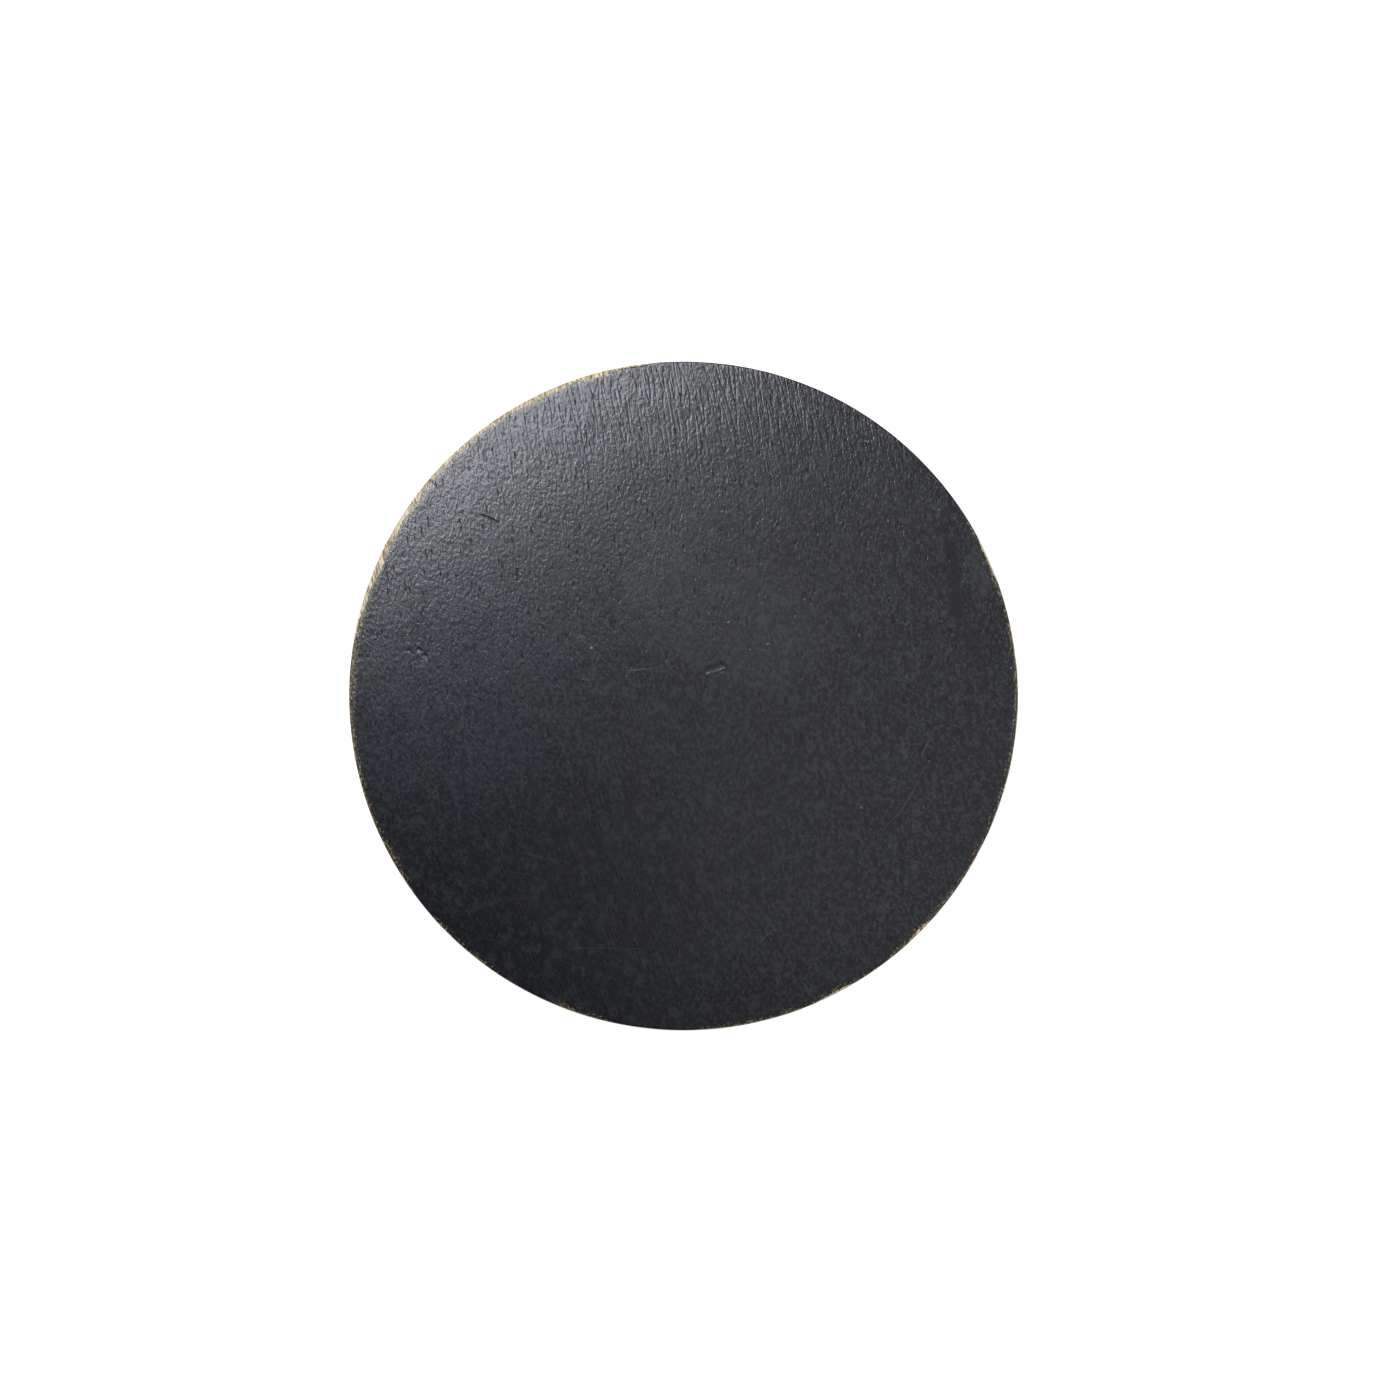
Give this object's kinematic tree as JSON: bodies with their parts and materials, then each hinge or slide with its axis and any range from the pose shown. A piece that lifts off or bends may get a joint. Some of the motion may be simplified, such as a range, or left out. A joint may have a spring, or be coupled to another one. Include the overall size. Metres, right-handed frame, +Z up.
{
  "type": "dealer button",
  "caption": "Round table marker: a turned wooden disc with a shallow domed black face, a weighted core and a felt base that slides on a card table.",
  "frame": {"origin": "centre of the felt's lower face, on the surface that the button rests on", "axes": "+Z up, out of the domed face along the disc's axis; +Y along the grain of the wood; +X across the grain"},
  "size_m": [0.076, 0.076, 0.013],
  "materials": {
    "black_painted_wood": "satin",
    "steel_plate": "satin",
    "zinc_screw": "satin",
    "adhesive": "matte",
    "green_felt": "matte"
  },
  "bodies": {
    "root": {"wooden_body": "black_painted_wood", "ballast_plate": "steel_plate", "ballast_screw_1": "zinc_screw", "ballast_screw_2": "zinc_screw", "ballast_screw_3": "zinc_screw", "adhesive_film": "adhesive", "felt_base": "green_felt"}
  },
  "joints": []
}
